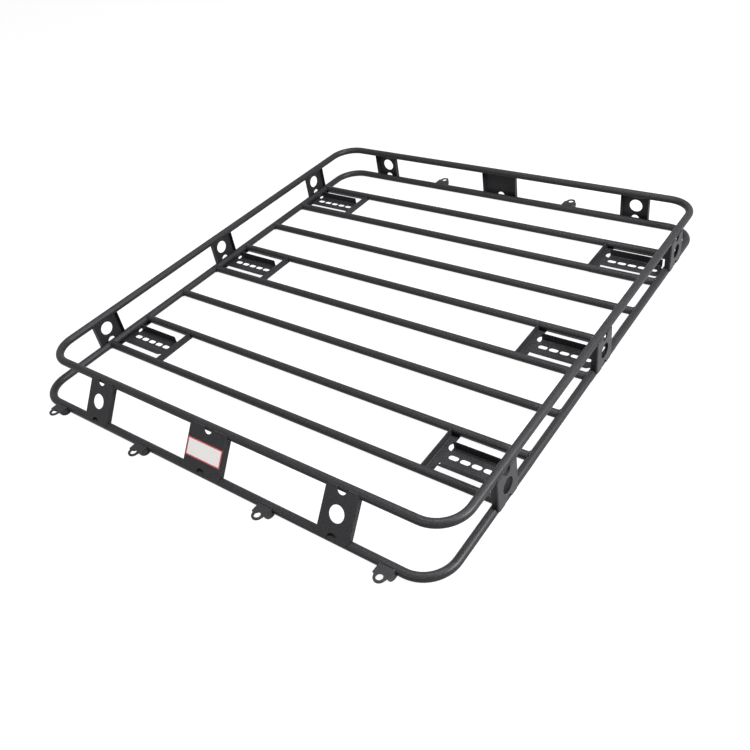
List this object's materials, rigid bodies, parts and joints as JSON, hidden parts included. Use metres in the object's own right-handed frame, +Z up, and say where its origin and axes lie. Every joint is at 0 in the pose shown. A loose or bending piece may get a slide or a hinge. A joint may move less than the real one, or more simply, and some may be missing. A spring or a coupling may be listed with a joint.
{
  "type": "roof rack",
  "caption": "Welded tube roof basket with cross bars between two hoops, folded uprights, slotted mounting trays and light tabs.",
  "frame": {"origin": "under the middle of the lower hoop, level with the undersides of the mounting trays", "axes": "+X across the rack to the right, +Y from the raked front to the rear, +Z up"},
  "size_m": [1.2408, 1.445, 0.1077],
  "materials": {
    "black_powder_coat": "fine textured matt powder coat"
  },
  "bodies": {
    "root": {"upper_rail": "black_powder_coat", "lower_rail": "black_powder_coat", "cross_bar_1": "black_powder_coat", "cross_bar_2": "black_powder_coat", "cross_bar_3": "black_powder_coat", "cross_bar_4": "black_powder_coat", "cross_bar_5": "black_powder_coat", "cross_bar_6": "black_powder_coat", "cross_bar_7": "black_powder_coat", "cross_bar_8": "black_powder_coat", "front_plate_left": "black_powder_coat", "front_plate_centre": "black_powder_coat", "front_plate_right": "black_powder_coat", "rear_plate_left": "black_powder_coat", "rear_plate_centre": "black_powder_coat", "rear_plate_right": "black_powder_coat", "side_plate_left_1": "black_powder_coat", "side_plate_left_2": "black_powder_coat", "side_plate_left_3": "black_powder_coat", "side_plate_right_1": "black_powder_coat", "side_plate_right_2": "black_powder_coat", "side_plate_right_3": "black_powder_coat", "mount_tray_left_1": "black_powder_coat", "mount_tray_left_2": "black_powder_coat", "mount_tray_left_3": "black_powder_coat", "mount_tray_right_1": "black_powder_coat", "mount_tray_right_2": "black_powder_coat", "mount_tray_right_3": "black_powder_coat", "front_light_tab_1": "black_powder_coat", "front_light_tab_2": "black_powder_coat", "front_light_tab_3": "black_powder_coat", "front_light_tab_4": "black_powder_coat", "rear_light_tab_1": "black_powder_coat", "rear_light_tab_2": "black_powder_coat"}
  },
  "joints": []
}
